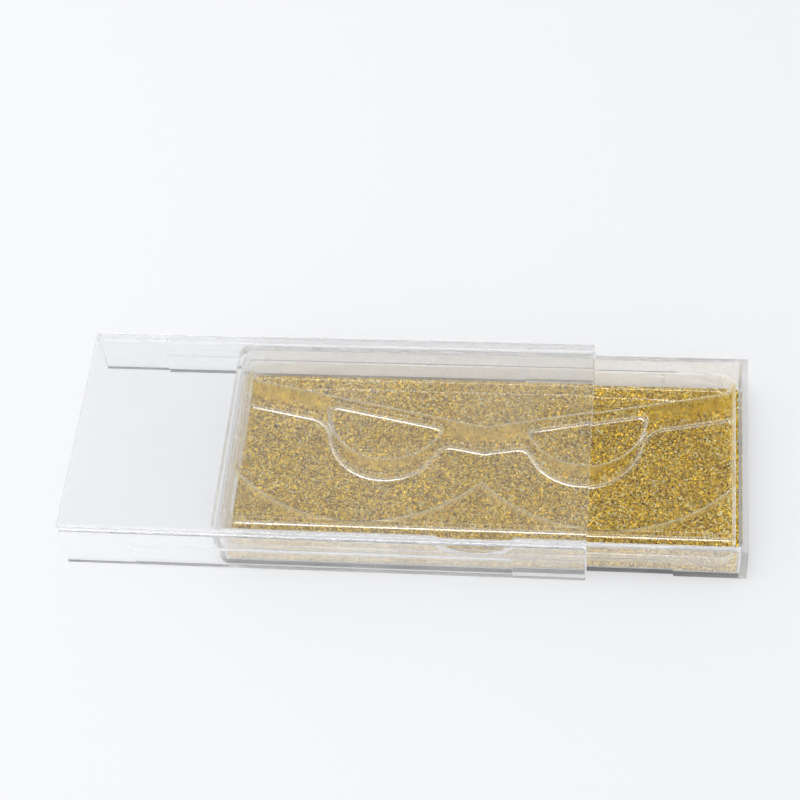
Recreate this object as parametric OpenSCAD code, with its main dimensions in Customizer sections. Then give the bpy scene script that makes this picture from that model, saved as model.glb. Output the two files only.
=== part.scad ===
// Clear slide-out case for a pair of false eyelashes.
// Open-ended sleeve, drawer, glitter card and formed clear insert. All sizes in mm.
// The case lies on the table (z = 0) and the drawer pulls out along +X.

/* [Sleeve] */
// Length of the sleeve along the slide
sleeve_len = 110; // [100:1:140]
// Width of the sleeve across the slide
sleeve_w = 52; // [50:1:60]
// Height of the sleeve
sleeve_h = 12.4; // [12:0.2:16]
// Thickness of the two side walls
sleeve_wall = 1.5; // [1.2:0.1:1.8]
// Thickness of the top plate
sleeve_top = 1.3; // [1:0.1:1.6]
// Rounding of the long top edges and of the corners seen from above
sleeve_round = 0.6; // [0.3:0.1:1]
// Rounding inside, where the walls meet the top plate
inner_round = 0.5; // [0.3:0.1:0.7]
// Distance from the left end of the sleeve to the guide rails
rail_start = 14.7; // [8:0.5:25]
// Length of the guide rails inside the side walls
rail_len = 80; // [60:1:85]
// How far the guide rails stand out from the side walls
rail_depth = 0.5; // [0.3:0.1:0.6]
// Height of the guide rails above the table
rail_h = 5.8; // [4:0.2:7]

/* [Drawer] */
// How far the drawer is pulled out at rest
pulled_out = 32.4; // [20:0.2:60]
// How much longer the drawer is than the sleeve
drawer_extra = 0.4; // [0:0.1:1]
// Gap between each drawer side and the sleeve wall
side_gap = 0.3; // [0.2:0.05:0.5]
// Gap between the drawer rim and the top plate
top_gap = 0.8; // [0.4:0.1:1.2]
// Gap between the step in the drawer side and the top of the guide rail
step_gap = 0.3; // [0.2:0.05:0.6]
// Gap left between the closed drawer's stop and the end of the rail
stop_gap = 0.6; // [0.3:0.1:1.5]
// Thickness of the drawer's long walls
drawer_wall = 1.2; // [1.1:0.1:1.6]
// Thickness of the wall at the end inside the sleeve
back_wall = 1.8; // [1.4:0.1:2.4]
// Thickness of the front plate at the pull end
front_plate = 1.3; // [1:0.1:2]
// Thickness of the drawer floor
floor_t = 1.2; // [1:0.1:1.6]
// Corner rounding at the end inside the sleeve, seen from above
back_corner = 2.2; // [1.6:0.1:3]
// Rounding of the inner corners of the drawer
inner_corner = 1; // [0.5:0.1:1.5]
// Width of the finger notch at the rim
notch_w = 16.3; // [12:0.5:24]
// Depth of the finger notch below the rim
notch_depth = 4.5; // [3:0.1:5]
// Rounding where the finger notch meets the rim
notch_round = 1.2; // [0.6:0.1:2]
// How far the two small catch bumps stand out on each side
bump_out = 0.15; // [0.1:0.05:0.2]

/* [Glitter card] */
// Thickness of the glitter card
card_t = 0.35; // [0.2:0.05:0.6]
// Gap between the card and the drawer walls
card_gap = 0.3; // [0.2:0.1:0.8]

/* [Lash tray] */
// Thickness of the formed clear sheet
sheet_t = 0.4; // [0.3:0.05:0.5]
// Length of the tray along the slide
tray_len = 106; // [103:0.2:106.8]
// Gap between the tray's long walls and the drawer walls
tray_gap = 0.3; // [0.2:0.1:0.6]
// Gap between the tray and the drawer's back wall
tray_back_gap = 0.2; // [0.1:0.1:0.4]
// Height of the tray's outer wall above its underside
tray_wall_h = 5.3; // [4.5:0.1:6]
// Corner rounding of the tray seen from above
tray_corner = 3.2; // [1.5:0.1:4]
// Height of the raised spectacle-shaped band above the tray floor
band_h = 1.5; // [1:0.1:2]
// Height of the curved near shelf above the tray floor
shelf_h = 1.5; // [1:0.1:2]
// Distance of each eye-shaped hollow from the middle of the tray
eye_x = 21.3; // [20:0.1:22]
// Radius of the round side of each eye-shaped hollow
eye_r = 13.1; // [12.8:0.1:13.8]
// Radius of the outer curve of the band around each hollow
band_r = 12.6; // [12.3:0.1:13.1]
// Slope of the straight brow lines
brow_slope = 0.21; // [0.18:0.002:0.24]
// Radius of the two long arcs of the near shelf
shelf_r = 36.6; // [36:0.1:40]

/* [Hidden] */
$fn = 96;
// Small overlap for clean cuts
e = 0.5;

total_len = sleeve_len + pulled_out + drawer_extra / 2;
sleeve_x0 = -total_len / 2;
sleeve_x1 = sleeve_x0 + sleeve_len;
plate_z = sleeve_h - sleeve_top;
channel_w = sleeve_w - 2 * sleeve_wall;

drawer_x1 = total_len / 2;
drawer_len = sleeve_len + drawer_extra;
drawer_x0 = drawer_x1 - drawer_len;
drawer_w = channel_w - 2 * side_gap;
drawer_h = plate_z - top_gap;
step_z = rail_h + step_gap;
step_in = rail_depth;
step_x = sleeve_x0 + rail_start + rail_len + pulled_out + stop_gap;
room_x0 = drawer_x0 + back_wall;
room_x1 = drawer_x1 - front_plate;
room_w = drawer_w - 2 * drawer_wall;

card_z = floor_t;
tray_z = card_z + card_t;
tray_floor = tray_z + sheet_t;
tray_w = room_w - 2 * tray_gap;
tray_x = room_x0 + tray_back_gap + tray_len / 2;
tray_top = tray_z + tray_wall_h;
band_top = tray_floor + band_h;
shelf_top = tray_floor + shelf_h;

// Middle of the finger notch along the slide
notch_x = (room_x0 + room_x1) / 2 - 0.5;

// Plan positions of the raised forms, measured from the middle of their pattern
pattern_x = -0.25;
eye_y = 13.75;
eye_corner = 1.4;
eye_line = 7.3;
brow_line = 9.65;
band_y = 8.4;
arm_line = 3.15;
bridge_line = 3.2;
bridge_slope = 0.19;
arm_fillet = 6;
bridge_fillet = 3;
shelf_x = 26;
shelf_y = 21.3;
fold_y = -16;

// Which piece is drawn

// Rectangle from one corner to the other with rounded corners
module round_rect(a, b, r) {
  translate([a[0] + r, a[1]])
    square([b[0] - a[0] - 2 * r, b[1] - a[1]]);
  translate([a[0], a[1] + r])
    square([b[0] - a[0], b[1] - a[1] - 2 * r]);
  for (x = [a[0] + r, b[0] - r])
    for (y = [a[1] + r, b[1] - r])
      translate([x, y])
        circle(r = r);
}

// The same shape on the left and on the right
module both() {
  children();
  mirror([1, 0])
    children();
}

// Section drawn in Y and Z, drawn out along X
module along_x(x0, x1) {
  translate([x0, 0, 0])
    rotate([90, 0, 90])
      linear_extrude(x1 - x0)
        children();
}

// Sleeve
module sleeve_section() {
  difference() {
    union() {
      round_rect([-sleeve_w / 2, 0], [sleeve_w / 2, sleeve_h], sleeve_round);
      translate([-sleeve_w / 2, 0])
        square([sleeve_w, sleeve_h / 2]);
    }
    round_rect([-channel_w / 2, -2], [channel_w / 2, plate_z], inner_round);
  }
}

module guide_rail() {
  along_x(sleeve_x0 + rail_start, sleeve_x0 + rail_start + rail_len)
    polygon([
      [channel_w / 2 + sleeve_wall / 2, 0],
      [channel_w / 2 - rail_depth, 0],
      [channel_w / 2 - rail_depth, rail_h],
      [channel_w / 2 + sleeve_wall / 2, rail_h]
    ]);
}

module sleeve() {
  color([0.86, 0.89, 0.92, 0.35])
    union() {
      intersection() {
        along_x(sleeve_x0, sleeve_x1)
          sleeve_section();
        translate([0, 0, -e])
          linear_extrude(sleeve_h + 2 * e)
            round_rect([sleeve_x0, -sleeve_w / 2], [sleeve_x1, sleeve_w / 2], sleeve_round);
      }
      guide_rail();
      mirror([0, 1, 0])
        guide_rail();
    }
}

// Drawer
module drawer_plan(inset) {
  round_rect([drawer_x0 + inset, inset - drawer_w / 2], [0, drawer_w / 2 - inset], back_corner);
  translate([-back_corner - e, inset - drawer_w / 2])
    square([drawer_x1 + back_corner + e, drawer_w - 2 * inset]);
}

module drawer_lower() {
  intersection() {
    linear_extrude(step_z + e)
      drawer_plan(step_in);
    translate([drawer_x0, -drawer_w, 0])
      cube([step_x - drawer_x0 + e, 2 * drawer_w, step_z + e]);
  }
}

// Finger notch, drawn in X and Z around the middle of the rim
module notch_shape() {
  r = (notch_w * notch_w / 4 + notch_depth * notch_depth) / (2 * notch_depth);
  cz = r - notch_depth;
  dz = cz + notch_round;
  dx = sqrt((r + notch_round) * (r + notch_round) - dz * dz);
  tz = cz - dz * r / (r + notch_round);
  translate([0, cz])
    circle(r = r);
  difference() {
    translate([-dx, tz])
      square([2 * dx, 2 - tz]);
    for (s = [-1, 1])
      translate([s * dx, -notch_round])
        circle(r = notch_round);
  }
}

module catch_bumps() {
  for (z = [2.4, 4.6])
    translate([step_x - 3, drawer_w / 2 - step_in - 0.3, z])
      rotate([-90, 0, 0])
        cylinder(r = 0.45, h = 0.3 + bump_out);
}

module drawer() {
  color([0.9, 0.89, 0.86, 0.4])
    union() {
      difference() {
        union() {
          translate([0, 0, step_z])
            linear_extrude(drawer_h - step_z)
              drawer_plan(0);
          drawer_lower();
          translate([step_x, -drawer_w / 2, 0])
            cube([drawer_x1 - step_x, drawer_w, drawer_h]);
        }
        translate([0, 0, floor_t])
          linear_extrude(drawer_h)
            round_rect([room_x0, -room_w / 2], [room_x1, room_w / 2], inner_corner);
        translate([notch_x, -room_w / 2 + e, drawer_h])
          rotate([90, 0, 0])
            linear_extrude(drawer_wall + 2 * e)
              notch_shape();
      }
      catch_bumps();
      mirror([0, 1, 0])
        catch_bumps();
    }
}

// Glitter card
module glitter_card() {
  color([0.86, 0.66, 0.28])
    translate([0, 0, card_z])
      linear_extrude(card_t)
        round_rect(
          [room_x0 + card_gap, card_gap - room_w / 2],
          [room_x1 - card_gap, room_w / 2 - card_gap],
          inner_corner
        );
}

// Lash tray, plan shapes around its middle, each grown outwards by g
function slant(g, slope) = g * sqrt(1 + slope * slope);

// Points on a round stretch, with the two end points left out when open is true
function arc(c, r, a, b, n, open = false) =
  [for (i = [(open ? 1 : 0) : n - (open ? 1 : 0)]) c + r * [cos(a + (b - a) * i / n), sin(a + (b - a) * i / n)]];

// Point given from the middle of a hollow, in axes turned to the brow line
function turned(c, t, p) = c + [p[0] * cos(t) - p[1] * sin(t), p[0] * sin(t) + p[1] * cos(t)];

// Middle of the fillet between the band's disc and a slanted line
function fillet_spot(y0, slope, side, r) =
  let (
    t = atan(slope),
    h = (y0 + slope * eye_x - band_y) * cos(t) - r,
    w = side * sqrt((band_r + r) * (band_r + r) - h * h)
  )
  turned([eye_x, band_y], t, [w, h]);

// Direction from the middle of the disc to a point
function from_disc(p) = atan2(p[1] - band_y, p[0] - eye_x);

// Right half of the band's outline, from the bridge round the disc to the brow
function band_right(g) =
  let (
    arm = fillet_spot(arm_line, brow_slope, 1, arm_fillet),
    bridge = fillet_spot(bridge_line, bridge_slope, -1, bridge_fillet),
    up_arm = slant(g, brow_slope),
    x = tray_len / 2 + e
  )
  concat(
    [[0, bridge_line - slant(g, bridge_slope)]],
    arc(bridge, bridge_fillet - g, 90 + atan(bridge_slope), from_disc(bridge) + 180, 8),
    arc([eye_x, band_y], band_r + g, from_disc(bridge), from_disc(arm), 30, true),
    arc(arm, arm_fillet - g, from_disc(arm) + 180, 90 + atan(brow_slope), 8),
    [[x, arm_line - up_arm + brow_slope * x]],
    [[x, brow_line + up_arm + brow_slope * x]],
    [[0, brow_line + up_arm]]
  );

// Eye-shaped hollow: a disc cut by the straight brow line, both corners rounded
function eye_points(g) =
  let (
    r = eye_r + g,
    k = eye_corner + g,
    t = atan(brow_slope),
    h = (eye_line + brow_slope * eye_x - eye_y) * cos(t) + g - k,
    w = sqrt((r - k) * (r - k) - h * h),
    a = atan2(h, w)
  )
  concat(
    arc(turned([eye_x, eye_y], t, [w, h]), k, t + 90, t + a, 8),
    arc([eye_x, eye_y], r, t + a, t - 180 - a, 36, true),
    arc(turned([eye_x, eye_y], t, [-w, h]), k, t + 180 - a, t + 90, 8)
  );

// Spectacle-shaped band: two rings, a bridge and two arms
module band(g) {
  difference() {
    both()
      polygon(band_right(g));
    both()
      polygon(eye_points(-g));
  }
}

// Near shelf bounded by two long arcs and a straight fold
module shelf(g) {
  difference() {
    translate([-tray_len / 2 - e, fold_y - g])
      square([tray_len + 2 * e, -fold_y + g]);
    both()
      translate([shelf_x, shelf_y])
        circle(r = shelf_r - g);
  }
}

module tray_plan(g) {
  round_rect([-tray_len / 2 - g, -tray_w / 2 - g], [tray_len / 2 + g, tray_w / 2 + g], tray_corner + g);
}

// Raised forms, cut off at the outer wall, standing h more than their height
module raised(g, inset, h) {
  intersection() {
    linear_extrude(tray_wall_h)
      tray_plan(-inset);
    union() {
      linear_extrude(band_h + h)
        translate([pattern_x, 0])
          band(g);
      linear_extrude(shelf_h + h)
        translate([pattern_x, 0])
          shelf(g);
    }
  }
}

module lash_tray() {
  color([0.93, 0.9, 0.82, 0.4])
    translate([tray_x, 0, tray_z])
      difference() {
        union() {
          difference() {
            linear_extrude(tray_wall_h)
              tray_plan(0);
            translate([0, 0, sheet_t])
              linear_extrude(tray_wall_h)
                tray_plan(-sheet_t);
          }
          raised(0, sheet_t / 2, sheet_t);
        }
        translate([0, 0, -e])
          raised(-sheet_t, sheet_t, e);
      }
}

sleeve();
drawer();
glitter_card();
lash_tray();
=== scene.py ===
"""Clear slide-out false eyelash case: sleeve, drawer, glitter card and formed lash tray."""
import math
from types import SimpleNamespace

import bpy
import numpy as np
from mathutils import Matrix, Vector
from mathutils.geometry import delaunay_2d_cdt


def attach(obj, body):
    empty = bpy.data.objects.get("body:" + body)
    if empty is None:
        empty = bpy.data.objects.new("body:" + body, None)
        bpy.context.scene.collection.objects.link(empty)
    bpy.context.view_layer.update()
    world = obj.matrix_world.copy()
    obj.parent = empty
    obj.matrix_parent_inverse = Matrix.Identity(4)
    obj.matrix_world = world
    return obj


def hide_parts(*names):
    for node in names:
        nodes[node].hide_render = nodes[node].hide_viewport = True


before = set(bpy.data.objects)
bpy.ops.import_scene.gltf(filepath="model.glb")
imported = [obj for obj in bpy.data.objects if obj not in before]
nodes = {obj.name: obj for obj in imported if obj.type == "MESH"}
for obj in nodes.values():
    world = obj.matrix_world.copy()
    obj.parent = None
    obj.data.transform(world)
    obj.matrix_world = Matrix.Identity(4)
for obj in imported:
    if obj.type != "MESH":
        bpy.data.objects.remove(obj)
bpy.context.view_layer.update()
scene = bpy.context.scene
MM = 0.001

# Sizes repeated from the part's source, in millimetres
TRAY_X = 15.9
TRAY_Z = 1.55
TRAY_LEN, TRAY_W, TRAY_R = 106.0, 45.4, 3.2
REACH = TRAY_LEN / 2
EYE_X, EYE_Y, EYE_R, EYE_K = 21.3, 13.75, 13.1, 1.4
BAND_Y, BAND_R = 8.4, 12.6
SLOPE, BRIDGE_SLOPE = 0.21, 0.19
EYE_LINE, BROW_LINE, ARM_LINE, BRIDGE_LINE = 7.3, 9.65, 3.15, 3.2
ARM_R, BRIDGE_R = 6.0, 3.0
SHELF_X, SHELF_Y, SHELF_R, FOLD_Y = 26.0, 21.3, 36.6, -16.0
BAND_H, SHELF_H = 1.5, 1.5
# Middle of the raised pattern, from the middle of the tray
SHIFT = -0.25

# The visual tray is a thin sheet, which lies this far above its resting place in the source
SHEET = 0.2
LIFT = 0.02
# Its formed walls have draft, in degrees, and a rounded foot and top, cut into steps at these shares
FOOT_R, TOP_R, DRAFT = 0.75, 0.3, 5.0
FOOT_SHARES = (0, 0.1, 0.2, 0.31, 0.43, 0.58, 0.78, 1)
TOP_SHARES = (1, 0.7, 0.45, 0.27, 0.12, 0)
# Half width of the soft point in the middle of the brow line
V_ROUND = 1.1
# Outer wall: inset from the tray's outer edge against height above the tray's floor
WALL_IN = np.array([1.15, 1.05, 0.95, 0.86, 0.78, 0.71, 0.66, 0.63, 0.36, 0.26, 0.18, 0.02])
WALL_UP = np.array([0, 0.01, 0.05, 0.11, 0.2, 0.32, 0.47, 0.65, 4.3, 4.62, 4.8, 4.86])
# The two end walls are whitish: points this near to the outer edge and this near to an end
WALL_FACE, END_ZONE = 0.64, 3.0
# Spacing of the loose points in the flat faces, and how far they keep from the folds
LOOSE_X, LOOSE_Y, LOOSE_GAP = 1.7, 1.5, 0.5
# The raised faces turn from clear to matt over this distance from their near edges
MATT_FROM, MATT_TO = 0.5, 2.4
MATT_LINES = (0.55, 1.1, 1.7, 2.4)
# Width of the smooth strip along the shelf's arcs
STRIP = 1.55
# The lines that heights are measured from run on past the tray's ends by this much
OUTSIDE = 3.0
# Margin that keeps a finish off the point where a fold begins or ends
HAIR = 0.01


# Node helpers
def new_material(name):
    m = bpy.data.materials.new(name)
    m.use_nodes = True
    t = m.node_tree
    t.nodes.clear()
    return m, t, t.nodes.new("ShaderNodeOutputMaterial")


def add(t, kind, inputs=None, **props):
    """New node with its properties and inputs set or linked."""
    n = t.nodes.new(kind)
    for k, v in props.items():
        setattr(n, k, v)
    for k, v in (inputs or {}).items():
        s = n.inputs[k]
        if isinstance(v, bpy.types.NodeSocket):
            t.links.new(v, s)
        else:
            s.default_value = v
    return n


def noise(t, place, scale, detail):
    return add(t, "ShaderNodeTexNoise", {"Vector": place, "Scale": scale, "Detail": detail}).outputs["Fac"]


def remap(t, value, source, target, **props):
    """Value carried from one range to another."""
    return add(t, "ShaderNodeMapRange", {
        "Value": value, "From Min": source[0], "From Max": source[1],
        "To Min": target[0], "To Max": target[1]}, **props).outputs["Result"]


def calc(t, operation, *values):
    return add(t, "ShaderNodeMath", dict(enumerate(values)), operation=operation).outputs[0]


def vector_calc(t, operation, inputs):
    return add(t, "ShaderNodeVectorMath", inputs, operation=operation).outputs["Vector"]


def blend(t, factor, a, b):
    """Colour between a and b."""
    n = add(t, "ShaderNodeMix", {"Factor": factor}, data_type="RGBA")
    n.inputs["A"].default_value = (*a, 1)
    n.inputs["B"].default_value = (*b, 1)
    return n.outputs["Result"]


def attribute(t, name):
    return add(t, "ShaderNodeAttribute", attribute_name=name).outputs["Fac"]


def set_material(o, m):
    o.data.materials.clear()
    o.data.materials.append(m)


# Materials
def formed_finish(t, p, place, tint, clear):
    """The sheet is matt and amber on its raised faces, whitish at its edges and shiny in its folds."""
    soft = attribute(t, "soft")
    white = attribute(t, "white")
    drawn = add(t, "ShaderNodeMapping", {"Vector": place, "Scale": (1.0, 0.35, 0.35)}).outputs["Vector"]
    rough = remap(t, noise(t, drawn, 1500.0, 1.0), (0.3, 0.7), (0.22, 0.36))
    t.links.new(calc(t, "MULTIPLY", soft, rough), p.inputs["Roughness"])
    t.links.new(blend(t, soft, tint, (0.94, 0.86, 0.56)), p.inputs["Base Color"])
    t.links.new(blend(t, soft, (1.0, 1.0, 1.0), (1.0, 0.7, 0.2)), p.inputs["Specular Tint"])
    t.links.new(calc(t, "SUBTRACT", clear, white), p.inputs["Transmission Weight"])
    t.links.new(attribute(t, "crease"), p.inputs["Coat Weight"])
    p.inputs["Coat IOR"].default_value = 2.1
    p.inputs["Coat Roughness"].default_value = 0.24


def matt_ends(t, p, geo, clear):
    """The cut ends, which face along the slide, are matt."""
    side = add(t, "ShaderNodeSeparateXYZ", {"Vector": geo.outputs["True Normal"]}).outputs["X"]
    ends = remap(t, calc(t, "ABSOLUTE", side), (0.6, 0.8), (0.0, 0.6))
    t.links.new(calc(t, "SUBTRACT", clear, ends), p.inputs["Transmission Weight"])
    t.links.new(ends, p.inputs["Roughness"])


def clear_plastic(name, tint, ior, haze, wave, wave_size, dim, formed=False, cut=False):
    """Clear plastic: refracting, with a faint uneven haze and slow ripples in the surface."""
    m, t, out = new_material(name)
    geo = add(t, "ShaderNodeNewGeometry")
    place = geo.outputs["Position"]
    slow = noise(t, place, wave_size, 1.0)
    clear = remap(t, slow, (0.3, 0.7), (1 - haze * 1.3, 1 - haze * 0.7))
    bump = add(t, "ShaderNodeBump", {"Height": slow, "Strength": wave, "Distance": 0.0004})
    p = add(t, "ShaderNodeBsdfPrincipled", {
        "Base Color": (*tint, 1), "Roughness": 0.0, "IOR": ior,
        "Transmission Weight": clear, "Normal": bump.outputs["Normal"]})
    if formed:
        formed_finish(t, p, place, tint, clear)
    if cut:
        matt_ends(t, p, geo, clear)
    # light that falls through the plastic onto what lies below goes straight on, a little dimmed
    path = add(t, "ShaderNodeLightPath").outputs
    below = calc(t, "MAXIMUM", path["Is Shadow Ray"], path["Is Diffuse Ray"])
    through = add(t, "ShaderNodeBsdfTransparent", {"Color": (dim, dim, dim, 1)})
    mix = add(t, "ShaderNodeMixShader", {0: below, 1: p.outputs["BSDF"], 2: through.outputs["BSDF"]})
    t.links.new(mix.outputs["Shader"], out.inputs["Surface"])
    return m


def glitter_material():
    """Gold glitter: packed flakes, each tipped its own way and with its own tone; the brightest flakes are
    painted near white as glints.
    """
    m, t, out = new_material("gold_glitter")
    geo = add(t, "ShaderNodeNewGeometry")
    place = geo.outputs["Position"]
    flakes = add(t, "ShaderNodeTexVoronoi", {"Vector": place, "Scale": 3900.0, "Randomness": 1.0})
    lean = vector_calc(t, "SUBTRACT", {0: flakes.outputs["Color"], 1: (0.5, 0.5, 0.5)})
    lean = vector_calc(t, "SCALE", {0: lean, "Scale": 1.3})
    lean = vector_calc(t, "ADD", {0: lean, 1: geo.outputs["Normal"]})
    lean = vector_calc(t, "NORMALIZE", {0: lean})
    split = add(t, "ShaderNodeSeparateColor", {"Color": flakes.outputs["Color"]})
    ramp = add(t, "ShaderNodeValToRGB", {"Fac": split.outputs["Red"]})
    flake_tones_and_glints = ramp.color_ramp.elements
    flake_tones_and_glints[0].color = (0.1, 0.045, 0.0, 1)
    # The top of the ramp, pale yellow from 0.9 and near white at the end, is a painted glint on the
    # brightest tenth of the flakes; the lower steps are the flakes' own tones.
    flake_tones_and_glints[1].color = (1.0, 0.98, 0.75, 1)
    for at, colour in (
            (0.2, (0.27, 0.145, 0.002)), (0.5, (0.55, 0.34, 0.01)),
            (0.82, (0.86, 0.6, 0.035)), (0.9, (1.0, 0.9, 0.4))):
        flake_tones_and_glints.new(at).color = (*colour, 1)
    patches = remap(t, noise(t, place, 300.0, 3.0), (0.3, 0.7), (0.92, 1.18))
    tone = vector_calc(t, "SCALE", {0: ramp.outputs["Color"], "Scale": patches})
    p = add(t, "ShaderNodeBsdfPrincipled", {
        "Base Color": tone, "Metallic": 0.75, "Roughness": 0.33, "Normal": lean})
    t.links.new(p.outputs["BSDF"], out.inputs["Surface"])
    return m


def floor_material():
    m, t, out = new_material("pale_floor")
    place = add(t, "ShaderNodeNewGeometry").outputs["Position"]
    tone = blend(t, noise(t, place, 3.0, 2.0), (0.925, 0.932, 0.948), (0.935, 0.94, 0.955))
    p = add(t, "ShaderNodeBsdfPrincipled", {
        "Base Color": tone, "Roughness": 0.9, "Specular IOR Level": 0.1})
    t.links.new(p.outputs["BSDF"], out.inputs["Surface"])
    return m


# Outlines of the lash tray, in millimetres from its middle, each grown outwards by g
def arc(c, r, a, b, step=0.45, open_ends=False):
    n = max(3, int(abs(b - a) * math.pi / 180 * r / step))
    k = 1 if open_ends else 0
    turns = [math.radians(a + (b - a) * i / n) for i in range(k, n + 1 - k)]
    return [(c[0] + r * math.cos(v), c[1] + r * math.sin(v)) for v in turns]


def turned(c, t, x, y):
    return c[0] + x * math.cos(t) - y * math.sin(t), c[1] + x * math.sin(t) + y * math.cos(t)


def fillet_spot(y0, slope, side, r):
    """Middle of the fillet between the band's disc and a slanted line."""
    t = math.atan(slope)
    h = (y0 + slope * EYE_X - BAND_Y) * math.cos(t) - r
    w = side * math.sqrt((BAND_R + r) ** 2 - h * h)
    return turned((EYE_X, BAND_Y), t, w, h)


def slant(g, slope):
    return g * math.hypot(1, slope)


def spaced(p, q, step=1.2):
    """Points along a straight line."""
    n = max(1, int(math.dist(p, q) / step))
    return [(p[0] + (q[0] - p[0]) * i / n, p[1] + (q[1] - p[1]) * i / n) for i in range(n)] + [q]


def mirrored(right):
    """A line from the middle outwards, drawn on both sides, from the left end to the right end."""
    return [(-x, y) for x, y in reversed(right)] + right[1:]


def from_disc(p):
    """Direction from the middle of the band's disc to a point, in degrees."""
    return math.degrees(math.atan2(p[1] - BAND_Y, p[0] - EYE_X))


def near_band(g, reach):
    arm = fillet_spot(ARM_LINE, SLOPE, 1, ARM_R)
    bridge = fillet_spot(BRIDGE_LINE, BRIDGE_SLOPE, -1, BRIDGE_R)
    to_disc = arc(bridge, BRIDGE_R - g, 90 + math.degrees(math.atan(BRIDGE_SLOPE)), from_disc(bridge) + 180)
    disc = arc((EYE_X, BAND_Y), BAND_R + g, from_disc(bridge), from_disc(arm), open_ends=True)
    to_arm = arc(arm, ARM_R - g, from_disc(arm) + 180, 90 + math.degrees(math.atan(SLOPE)))
    start = (0.0, BRIDGE_LINE - slant(g, BRIDGE_SLOPE))
    end = (reach, ARM_LINE - slant(g, SLOPE) + SLOPE * reach)
    return mirrored(spaced(start, to_disc[0])[:-1] + to_disc + disc + to_arm + spaced(to_arm[-1], end)[1:])


def far_band(g, reach):
    y = BROW_LINE + slant(g, SLOPE)
    k = V_ROUND
    point = [(0.0, y + SLOPE * k * 0.5), (k * 0.5, y + SLOPE * k * 0.625), (k, y + SLOPE * k)]
    return mirrored(point[:-1] + spaced(point[-1], (reach, y + SLOPE * reach)))


def eye(g):
    r, k, t = EYE_R + g, EYE_K + g, math.atan(SLOPE)
    h = (EYE_LINE + SLOPE * EYE_X - EYE_Y) * math.cos(t) + g - k
    w = math.sqrt((r - k) ** 2 - h * h)
    a, td = math.degrees(math.atan2(h, w)), math.degrees(t)
    c = (EYE_X, EYE_Y)
    right = arc(turned(c, t, w, h), k, td + 90, td + a, 0.3)
    disc = arc(c, r, td + a, td - 180 - a, open_ends=True)
    left = arc(turned(c, t, -w, h), k, td + 180 - a, td + 90, 0.3)
    return right + disc + left + spaced(left[-1], right[0])[1:-1]


def both_eyes(g):
    right = eye(g)
    return [right, [(-x, y) for x, y in right]]


def shelf_line(g, reach):
    r = SHELF_R - g
    a0 = math.degrees(math.asin(SHELF_X / r))
    a1 = math.degrees(math.asin((reach - SHELF_X) / r))
    return mirrored(arc((SHELF_X, SHELF_Y), r, 270 - a0, 270 + a1))


def ring(inset):
    """The tray's rounded rectangle, set in by inset."""
    x, y, r = REACH - inset, TRAY_W / 2 - inset, TRAY_R - inset * 0.3
    p = []
    for cx, cy, a in ((x - r, y - r, 0), (-x + r, y - r, 90), (-x + r, -y + r, 180), (x - r, -y + r, 270)):
        corner = arc((cx, cy), r, a, a + 90, 0.4)
        if p:
            p += spaced(p[-1], corner[0])[1:-1]
        p += corner
    return p + spaced(p[-1], p[0])[1:-1]


# Lash tray
def distance(points, line, closed):
    """Distance of each point to a polyline."""
    a = np.array(line)
    b = np.roll(a, -1, 0) if closed else a[1:]
    a = a if closed else a[:-1]
    d = b - a
    dd = (d * d).sum(1) + 1e-12
    out = np.full(len(points), 1e9)
    batch = 2000
    for i in range(0, len(points), batch):
        p = points[i:i + batch, None, :]
        k = np.clip(((p - a) * d).sum(2) / dd, 0, 1)
        out[i:i + batch] = np.sqrt((((p - a) - k[..., None] * d) ** 2).sum(2).min(1))
    return out


def inside(points, outline):
    """True where a point lies in a closed outline."""
    a = np.array(outline)
    b = np.roll(a, -1, 0)
    out = np.zeros(len(points), bool)
    for (x1, y1), (x2, y2) in zip(a, b):
        if y1 != y2:
            crossed = (y1 > points[:, 1]) != (y2 > points[:, 1])
            out ^= crossed & (points[:, 0] < (x2 - x1) * (points[:, 1] - y1) / (y2 - y1) + x1)
    return out


def fold(height):
    """Profile across a formed wall: distance from its middle, positive on the raised side, and height."""
    end = math.radians(90 - DRAFT)
    low = [end * k for k in FOOT_SHARES]
    high = [end * k for k in TOP_SHARES]
    rise = height - (FOOT_R + TOP_R) * (1 - math.cos(end))
    x = [FOOT_R * math.sin(a) for a in low]
    z = [FOOT_R * (1 - math.cos(a)) for a in low]
    x1, z1 = x[-1] + rise * math.tan(math.radians(DRAFT)), z[-1] + rise
    x += [x1 + TOP_R * (math.sin(end) - math.sin(a)) for a in high]
    z += [z1 + TOP_R * (math.cos(a) - math.cos(end)) for a in high]
    return np.array(x) - x[-1] / 2, np.array(z)


BAND_FOLD, SHELF_FOLD = fold(BAND_H), fold(SHELF_H)


def guide_lines():
    """Lines that the tray's triangles follow, each with whether it is closed."""
    lines = []
    for s in BAND_FOLD[0]:
        lines += [(near_band(-s, REACH), False), (far_band(-s, REACH), False)]
        lines += [(e, True) for e in both_eyes(s)]
    for s in SHELF_FOLD[0]:
        front = spaced((-REACH, FOLD_Y + s), (REACH, FOLD_Y + s))
        lines += [(shelf_line(-s, REACH), False), (front, False)]
    for g in MATT_LINES:
        lines.append((near_band(-g, REACH), False))
        lines += [(e, True) for e in both_eyes(g)]
    lines += [(shelf_line(-g, REACH), False) for g in (STRIP - 0.05, STRIP + 0.05)]
    lines = [([(x + SHIFT, y) for x, y in p], closed) for p, closed in lines]
    return lines + [(ring(inset), True) for inset in WALL_IN]


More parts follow.
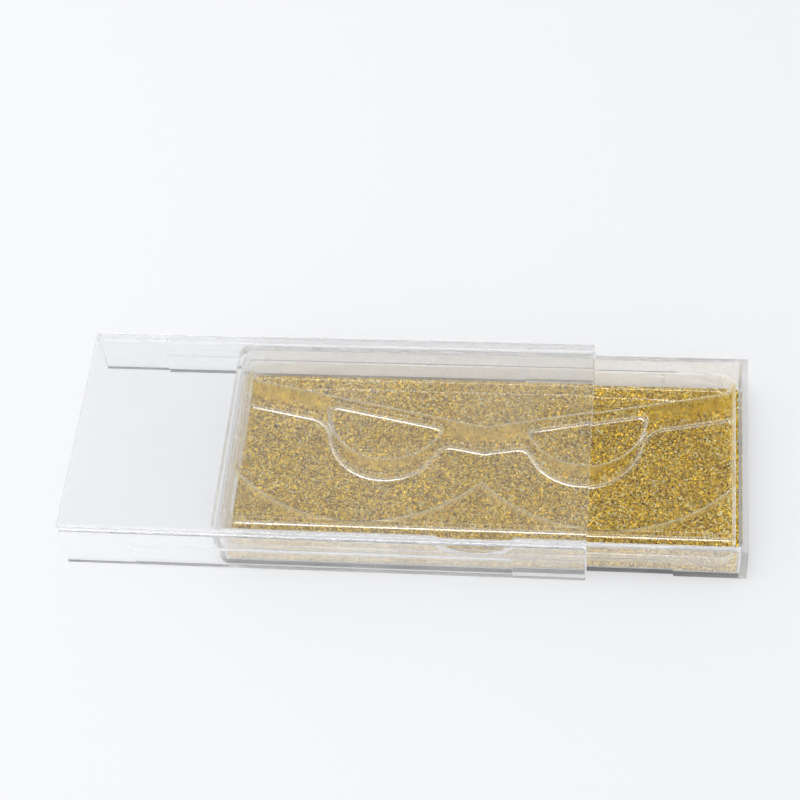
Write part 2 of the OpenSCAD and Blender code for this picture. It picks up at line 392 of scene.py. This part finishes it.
def tray_plan():
    """Plan points of the tray and the triangles between them."""
    lines = guide_lines()
    points, edges = [], []
    for line, closed in lines:
        k = len(points)
        points += line
        edges += [(k + i, k + i + 1) for i in range(len(line) - 1)]
        if closed:
            edges.append((k + len(line) - 1, k))
    # loose points keep the triangles of the flat faces small
    columns, rows = int(REACH / LOOSE_X), int(TRAY_W / 2 / LOOSE_Y) - 1
    loose = np.array([(LOOSE_X * (x + (y % 2) / 2), LOOSE_Y * y)
                      for x in range(-columns, columns) for y in range(-rows, rows + 1)])
    gap = np.min([distance(loose, line, closed) for line, closed in lines], 0)
    points += [tuple(v) for v in loose[gap > LOOSE_GAP]]
    verts, _, faces, *_ = delaunay_2d_cdt([Vector(p) for p in points], edges, [], 0, 1e-4)
    xy = np.array([(v.x, v.y) for v in verts])
    tri = np.array([f for f in faces if len(f) == 3])
    tri = tri[inside(xy[tri].mean(1), ring(WALL_IN[-1]))]
    used = np.unique(tri)
    index = np.full(len(xy), -1)
    index[used] = np.arange(len(used))
    return xy[used], index[tri]


PAST = REACH + OUTSIDE
NEAR, FAR, SHELF_ARCS = near_band(0, PAST), far_band(0, PAST), shelf_line(0, REACH)
BAND = NEAR + FAR[::-1]
SHELF = [(-PAST, SHELF_ARCS[0][1]), *SHELF_ARCS, (PAST, SHELF_ARCS[-1][1]), (PAST, FOLD_Y), (-PAST, FOLD_Y)]
WALL = ring(0.0)


def measure(xy):
    """Height of the sheet at points of the plan, and their distances from its walls."""
    q = xy - (SHIFT, 0)
    wall = distance(xy, WALL, True)
    near, far = distance(q, NEAR, False), distance(q, FAR, False)
    band = np.where(inside(q, BAND), 1, -1) * np.minimum(near, far)
    for e in both_eyes(0):
        d = distance(q, e, True)
        band = np.minimum(band, np.where(inside(q, e), -d, d))
        # the round side of a hollow faces the notch, and the raised face begins again past the straight side
        round_side = q[:, 1] < EYE_LINE + SLOPE * np.abs(q[:, 0]) - 0.8
        far = np.where(round_side, np.minimum(far, d), far)
        near = np.where(round_side, near, np.minimum(near, d))
    arcs = distance(q, SHELF_ARCS, False)
    shelf = np.where(inside(q, SHELF), 1, -1) * np.minimum(arcs, np.abs(q[:, 1] - FOLD_Y))
    height = np.maximum(np.interp(band, *BAND_FOLD), np.interp(shelf, *SHELF_FOLD))
    height = np.maximum(height, np.interp(wall, WALL_IN[::-1], WALL_UP[::-1]))
    return SimpleNamespace(height=height, wall=wall, band=band, near=near, far=far, shelf=shelf, arcs=arcs)


def sheet_normals(xy):
    """Upright normals from the slope of the height."""
    k = 0.03
    slope = [(measure(xy + d).height - measure(xy - d).height) / (2 * k) for d in ((k, 0), (0, k))]
    normal = np.c_[-slope[0], -slope[1], np.ones(len(xy))]
    return normal / np.linalg.norm(normal, axis=1)[:, None]


def finishes(xy, at):
    """How matt, how whitish and how creased the sheet is at each point."""
    def in_foot(d, s):
        return (d > s[0] + HAIR) & (d < s[len(FOOT_SHARES) - 1])

    def in_top(d, s):
        return (d > s[len(FOOT_SHARES)] + HAIR) & (d < s[-1] - HAIR)

    bs, ss = BAND_FOLD[0], SHELF_FOLD[0]
    strip = (at.shelf > ss[0] + 2 * HAIR) & (at.arcs < STRIP)
    soft = np.where(at.band > bs[-1] - 0.25, np.interp(at.near, [MATT_FROM, MATT_TO], [0, 1]), 0)
    soft = np.maximum(soft, np.where(strip, 0.8, 0))
    white = np.where((at.far < 1) & in_top(at.band, bs), 0.34, 0)
    white = np.maximum(white, np.where(strip, np.where(in_top(at.shelf, ss), 0.16, 0.05), 0))
    end_wall = (at.wall < WALL_FACE) & (np.abs(xy[:, 0]) > REACH - END_ZONE)
    white = np.maximum(white, np.where(end_wall, 0.2, 0))
    low = in_foot(at.band, bs) | in_foot(at.shelf, ss)
    high = in_top(at.band, bs) | in_top(at.shelf, ss)
    crease = np.where(low, 1.0, np.where(high, 0.1, 0))
    return {"soft": soft, "white": white, "crease": crease}


def make_tray():
    """The formed sheet: upper face, lower face and a narrow rim between them."""
    xy, tri = tray_plan()
    at = measure(xy)
    normal = sheet_normals(xy)
    upper = np.c_[xy[:, 0] + TRAY_X, xy[:, 1], at.height + TRAY_Z + SHEET + LIFT]
    lower = upper - normal * SHEET
    n = len(upper)
    first = upper[tri[0]]
    if np.cross(first[1] - first[0], first[2] - first[0])[2] < 0:
        tri = tri[:, ::-1]
    sides = np.vstack([tri[:, [0, 1]], tri[:, [1, 2]], tri[:, [2, 0]]])
    sides = set(map(tuple, sides.tolist()))
    rim = [(b, a, a + n, b + n) for a, b in sorted(sides) if (b, a) not in sides]
    faces = tri.tolist() + (tri[:, ::-1] + n).tolist() + rim
    me = bpy.data.meshes.new("lash_tray_formed")
    me.from_pydata((np.vstack([upper, lower]) * MM).tolist(), [], faces)
    me.polygons.foreach_set("use_smooth", [True] * len(me.polygons))
    for name, v in finishes(xy, at).items():
        values = np.tile(v, 2).astype(np.float32)
        me.attributes.new(name, "FLOAT", "POINT").data.foreach_set("value", values)
    me.update()
    me.normals_split_custom_set_from_vertices(np.vstack([normal, -normal]).tolist())
    o = bpy.data.objects.new("lash_tray_formed", me)
    scene.collection.objects.link(o)
    return o


def soften_edges(o, width):
    """Moulded edges are slightly rounded, so they catch the light."""
    edge = o.modifiers.new("soft_edges", "BEVEL")
    edge.width = width * MM
    edge.segments = 2
    edge.limit_method = "ANGLE"
    edge.angle_limit = math.radians(40)


# Stage
def make_floor():
    bpy.ops.mesh.primitive_plane_add(size=6, location=(0, 0, -0.05 * MM))
    floor = bpy.context.object
    floor.name = "floor"
    set_material(floor, floor_material())
    return floor


def make_world():
    """Pale surroundings, brightest low down, so that the clear walls stay light."""
    world = bpy.data.worlds.new("studio")
    scene.world = world
    world.use_nodes = True
    t = world.node_tree
    t.nodes.clear()
    out = add(t, "ShaderNodeOutputWorld")
    place = add(t, "ShaderNodeTexCoord").outputs["Generated"]
    up = add(t, "ShaderNodeSeparateXYZ", {"Vector": place}).outputs["Z"]
    strength = remap(t, up, (0.2, 0.7), (1.74, 0.2), interpolation_type="SMOOTHSTEP")
    bg = add(t, "ShaderNodeBackground", {"Color": (0.99, 0.995, 1.0, 1), "Strength": strength})
    t.links.new(bg.outputs["Background"], out.inputs["Surface"])


def area(name, spot, size, power):
    """Soft lamp aimed at the object."""
    light = bpy.data.lights.new(name, "AREA")
    light.shape = "RECTANGLE"
    light.size, light.size_y = size
    light.energy = power
    o = bpy.data.objects.new(name, light)
    scene.collection.objects.link(o)
    o.location = spot
    o.rotation_euler = (-Vector(spot)).to_track_quat("-Z", "Y").to_euler()


# Camera fitted to the corners of the case in the photo
PHOTO_WIDTH, FOCAL_LENGTH, SENSOR = 800.0, 2120.0, 36.0
CAMERA_SPOT = Vector((0.05128455, -0.25036325, 0.37922866))
CAMERA_RIGHT = Vector((0.99262373, 0.09020802, -0.08099782))
CAMERA_DOWN = Vector((0.02658205, -0.81378481, -0.58055807))
CAMERA_AHEAD = Vector((-0.11828579, 0.57412263, -0.81018003))


def make_camera():
    cam = bpy.data.cameras.new("camera")
    cam.sensor_width = SENSOR
    cam.lens = FOCAL_LENGTH / PHOTO_WIDTH * SENSOR
    cam.clip_start, cam.clip_end = 0.01, 20
    camera = bpy.data.objects.new("camera", cam)
    scene.collection.objects.link(camera)
    turn = Matrix((CAMERA_RIGHT, -CAMERA_DOWN, -CAMERA_AHEAD)).transposed()
    camera.matrix_world = Matrix.Translation(CAMERA_SPOT) @ turn.to_4x4()
    scene.camera = camera


tray = make_tray()
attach(tray, "drawer")
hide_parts("lash_tray")
soften_edges(nodes["drawer"], 0.14)

SLEEVE = clear_plastic("clear_sleeve", (0.985, 0.99, 1.0), 1.57, 0.045, 0.0, 60.0, 0.985, cut=True)
DRAWER = clear_plastic("clear_drawer", (0.99, 0.985, 0.98), 1.57, 0.13, 0.008, 70.0, 0.92)
INSERT = clear_plastic("clear_insert", (0.99, 0.985, 0.97), 1.58, 0.012, 0.04, 90.0, 0.97, formed=True)
set_material(nodes["sleeve"], SLEEVE)
set_material(nodes["drawer"], DRAWER)
set_material(nodes["glitter_card"], glitter_material())
set_material(tray, INSERT)

floor = make_floor()
make_world()
area("softbox_top", (-0.24, -0.02, 1.2), (0.6, 0.75), 6.95)
area("softbox_left", (-0.9, 0.1, 0.7), (0.7, 0.7), 1.3)
make_camera()

scene.view_settings.view_transform = "Standard"
BOUNCES = 24
scene.cycles.max_bounces = BOUNCES
scene.cycles.transmission_bounces = BOUNCES
scene.cycles.glossy_bounces = BOUNCES
scene.cycles.transparent_max_bounces = BOUNCES
